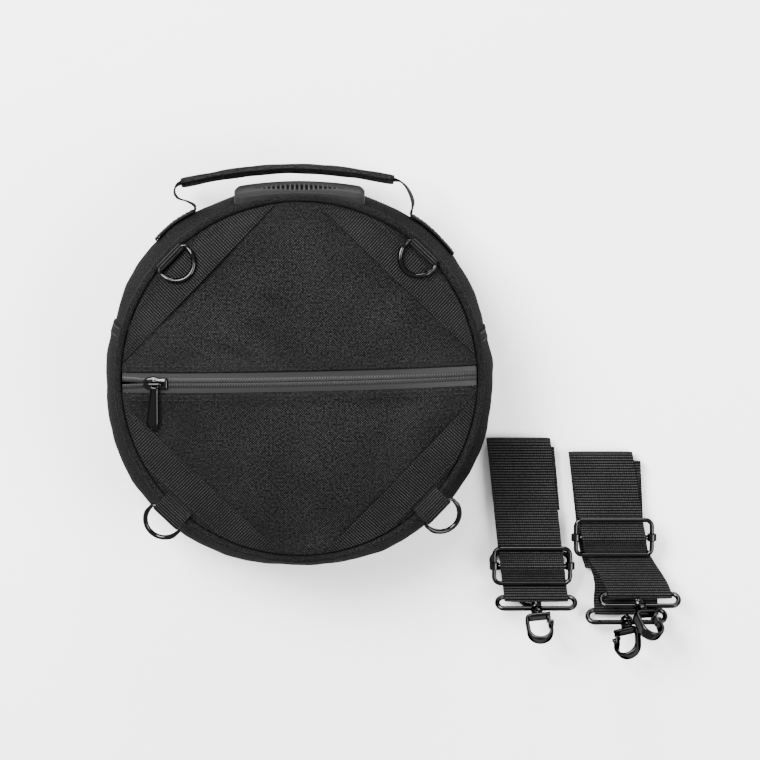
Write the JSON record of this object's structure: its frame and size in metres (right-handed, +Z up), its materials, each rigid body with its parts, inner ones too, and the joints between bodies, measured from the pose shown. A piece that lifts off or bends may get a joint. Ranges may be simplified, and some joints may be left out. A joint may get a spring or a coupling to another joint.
{
  "type": "round chest bag with detachable straps",
  "caption": "Round zipped chest bag lying on its back, with a domed banded front, strap rings, a padded handle and its detachable hook-on straps folded beside it.",
  "frame": {"origin": "the middle of the back panel's underside, on the surface that the bag lies on", "axes": "+Z up, out of the front of the bag; +Y towards the carrying handle; +X towards the straps"},
  "size_m": [0.4481, 0.3916, 0.1073],
  "materials": {
    "cloth": "matte black woven nylon",
    "piping": "matte black bound edge",
    "webbing": "black ribbed nylon webbing",
    "coated_zip": "grey coated zip tape",
    "moulded_grip": "satin grey moulding",
    "black_metal": "gloss black"
  },
  "bodies": {
    "bag": {"back_panel": "cloth", "front_rim": "piping", "back_rim": "piping", "gusset_lower": "cloth", "gusset_upper_front": "cloth", "gusset_upper_back": "cloth", "main_zip": "coated_zip", "front_panel_upper": "cloth", "front_panel_lower": "cloth", "pocket_zip": "coated_zip", "corner_band_top_right": "webbing", "corner_band_top_left": "webbing", "corner_band_bottom_left": "webbing", "corner_band_bottom_right": "webbing", "zip_slider": "black_metal", "ring_tab_top_right": "webbing", "ring_tab_top_left": "webbing", "ring_tab_bottom_left": "webbing", "ring_tab_bottom_right": "webbing", "top_grip": "moulded_grip", "handle_grip": "cloth", "handle_webbing_left": "webbing", "handle_webbing_right": "webbing", "strap_left_webbing": "webbing", "strap_left_slide_frame": "black_metal", "strap_left_slide_bar": "black_metal", "strap_left_eye_a": "black_metal", "strap_left_eye_b": "black_metal", "strap_right_webbing": "webbing", "strap_right_slide_frame": "black_metal", "strap_right_slide_bar": "black_metal", "strap_right_eye_a": "black_metal", "strap_right_eye_b": "black_metal"},
    "d_ring_top_right": {"d_ring_top_right": "black_metal"},
    "d_ring_top_left": {"d_ring_top_left": "black_metal"},
    "d_ring_bottom_left": {"d_ring_bottom_left": "black_metal"},
    "d_ring_bottom_right": {"d_ring_bottom_right": "black_metal"},
    "zip_pull": {"zip_pull": "black_metal"},
    "strap_left_hook_a": {"strap_left_hook_a": "black_metal"},
    "strap_left_gate_a": {"strap_left_gate_a": "black_metal"},
    "strap_left_hook_b": {"strap_left_hook_b": "black_metal"},
    "strap_left_gate_b": {"strap_left_gate_b": "black_metal"},
    "strap_right_hook_a": {"strap_right_hook_a": "black_metal"},
    "strap_right_gate_a": {"strap_right_gate_a": "black_metal"},
    "strap_right_hook_b": {"strap_right_hook_b": "black_metal"},
    "strap_right_gate_b": {"strap_right_gate_b": "black_metal"}
  },
  "joints": [
    {"name": "top_right_ring_swing", "type": "hinge", "parent": "bag", "child": "d_ring_top_right", "pos_m": [0.09448, 0.09852, 0.0962], "axis": [-0.7218, 0.6921, 0], "range_deg": [0, 160]},
    {"name": "top_left_ring_swing", "type": "hinge", "parent": "bag", "child": "d_ring_top_left", "pos_m": [-0.09852, 0.09448, 0.0962], "axis": [-0.6921, -0.7218, 0], "range_deg": [0, 160]},
    {"name": "bottom_left_ring_swing", "type": "hinge", "parent": "bag", "child": "d_ring_bottom_left", "pos_m": [-0.1014, -0.10574, 0.0926], "axis": [-0.7218, 0.6921, 0], "range_deg": [-50, 140]},
    {"name": "bottom_right_ring_swing", "type": "hinge", "parent": "bag", "child": "d_ring_bottom_right", "pos_m": [0.10574, -0.1014, 0.0926], "axis": [-0.6921, -0.7218, 0], "range_deg": [-50, 140]},
    {"name": "zip_pull_swing", "type": "hinge", "parent": "bag", "child": "zip_pull", "pos_m": [-0.11145, -0.0023, 0.10421], "axis": [-0.976, -0.0209, -0.2168], "range_deg": [0, 150]},
    {"name": "strap_left_hook_a_swivel", "type": "hinge", "parent": "bag", "child": "strap_left_hook_a", "pos_m": [0.18509, -0.18878, 0.02238], "axis": [-0.1219, 0.7018, -0.7018], "continuous": true},
    {"name": "strap_left_gate_a_open", "type": "hinge", "parent": "strap_left_hook_a", "child": "strap_left_gate_a", "pos_m": [0.19452, -0.19608, 0.02968], "axis": [0, -0.7071, -0.7071], "range_deg": [0, 35], "stiffness_Nm_per_rad": 0.02},
    {"name": "strap_left_hook_b_swivel", "type": "hinge", "parent": "bag", "child": "strap_left_hook_b", "pos_m": [0.18096, -0.159, 0.0049], "axis": [0, 1, 0], "range_deg": [-5, 5]},
    {"name": "strap_left_gate_b_open", "type": "hinge", "parent": "strap_left_hook_b", "child": "strap_left_gate_b", "pos_m": [0.18906, -0.1704, 0.0049], "axis": [0, 0, -1], "range_deg": [0, 35], "stiffness_Nm_per_rad": 0.02},
    {"name": "strap_right_hook_a_swivel", "type": "hinge", "parent": "bag", "child": "strap_right_hook_a", "pos_m": [0.266, -0.18618, 0.02596], "axis": [-0.3584, 0.6938, -0.6247], "continuous": true},
    {"name": "strap_right_gate_a_open", "type": "hinge", "parent": "strap_right_hook_a", "child": "strap_right_gate_a", "pos_m": [0.27694, -0.19442, 0.02878], "axis": [-0.3945, -0.719, -0.5722], "range_deg": [0, 35], "stiffness_Nm_per_rad": 0.02},
    {"name": "strap_right_hook_b_swivel", "type": "hinge", "parent": "bag", "child": "strap_right_hook_b", "pos_m": [0.2564, -0.20143, 0.01197], "axis": [0, 0.766, -0.6428], "continuous": true},
    {"name": "strap_right_gate_b_open", "type": "hinge", "parent": "strap_right_hook_b", "child": "strap_right_gate_b", "pos_m": [0.24906, -0.21236, 0.01668], "axis": [-0.4226, 0.5826, 0.6943], "range_deg": [0, 35], "stiffness_Nm_per_rad": 0.02}
  ]
}
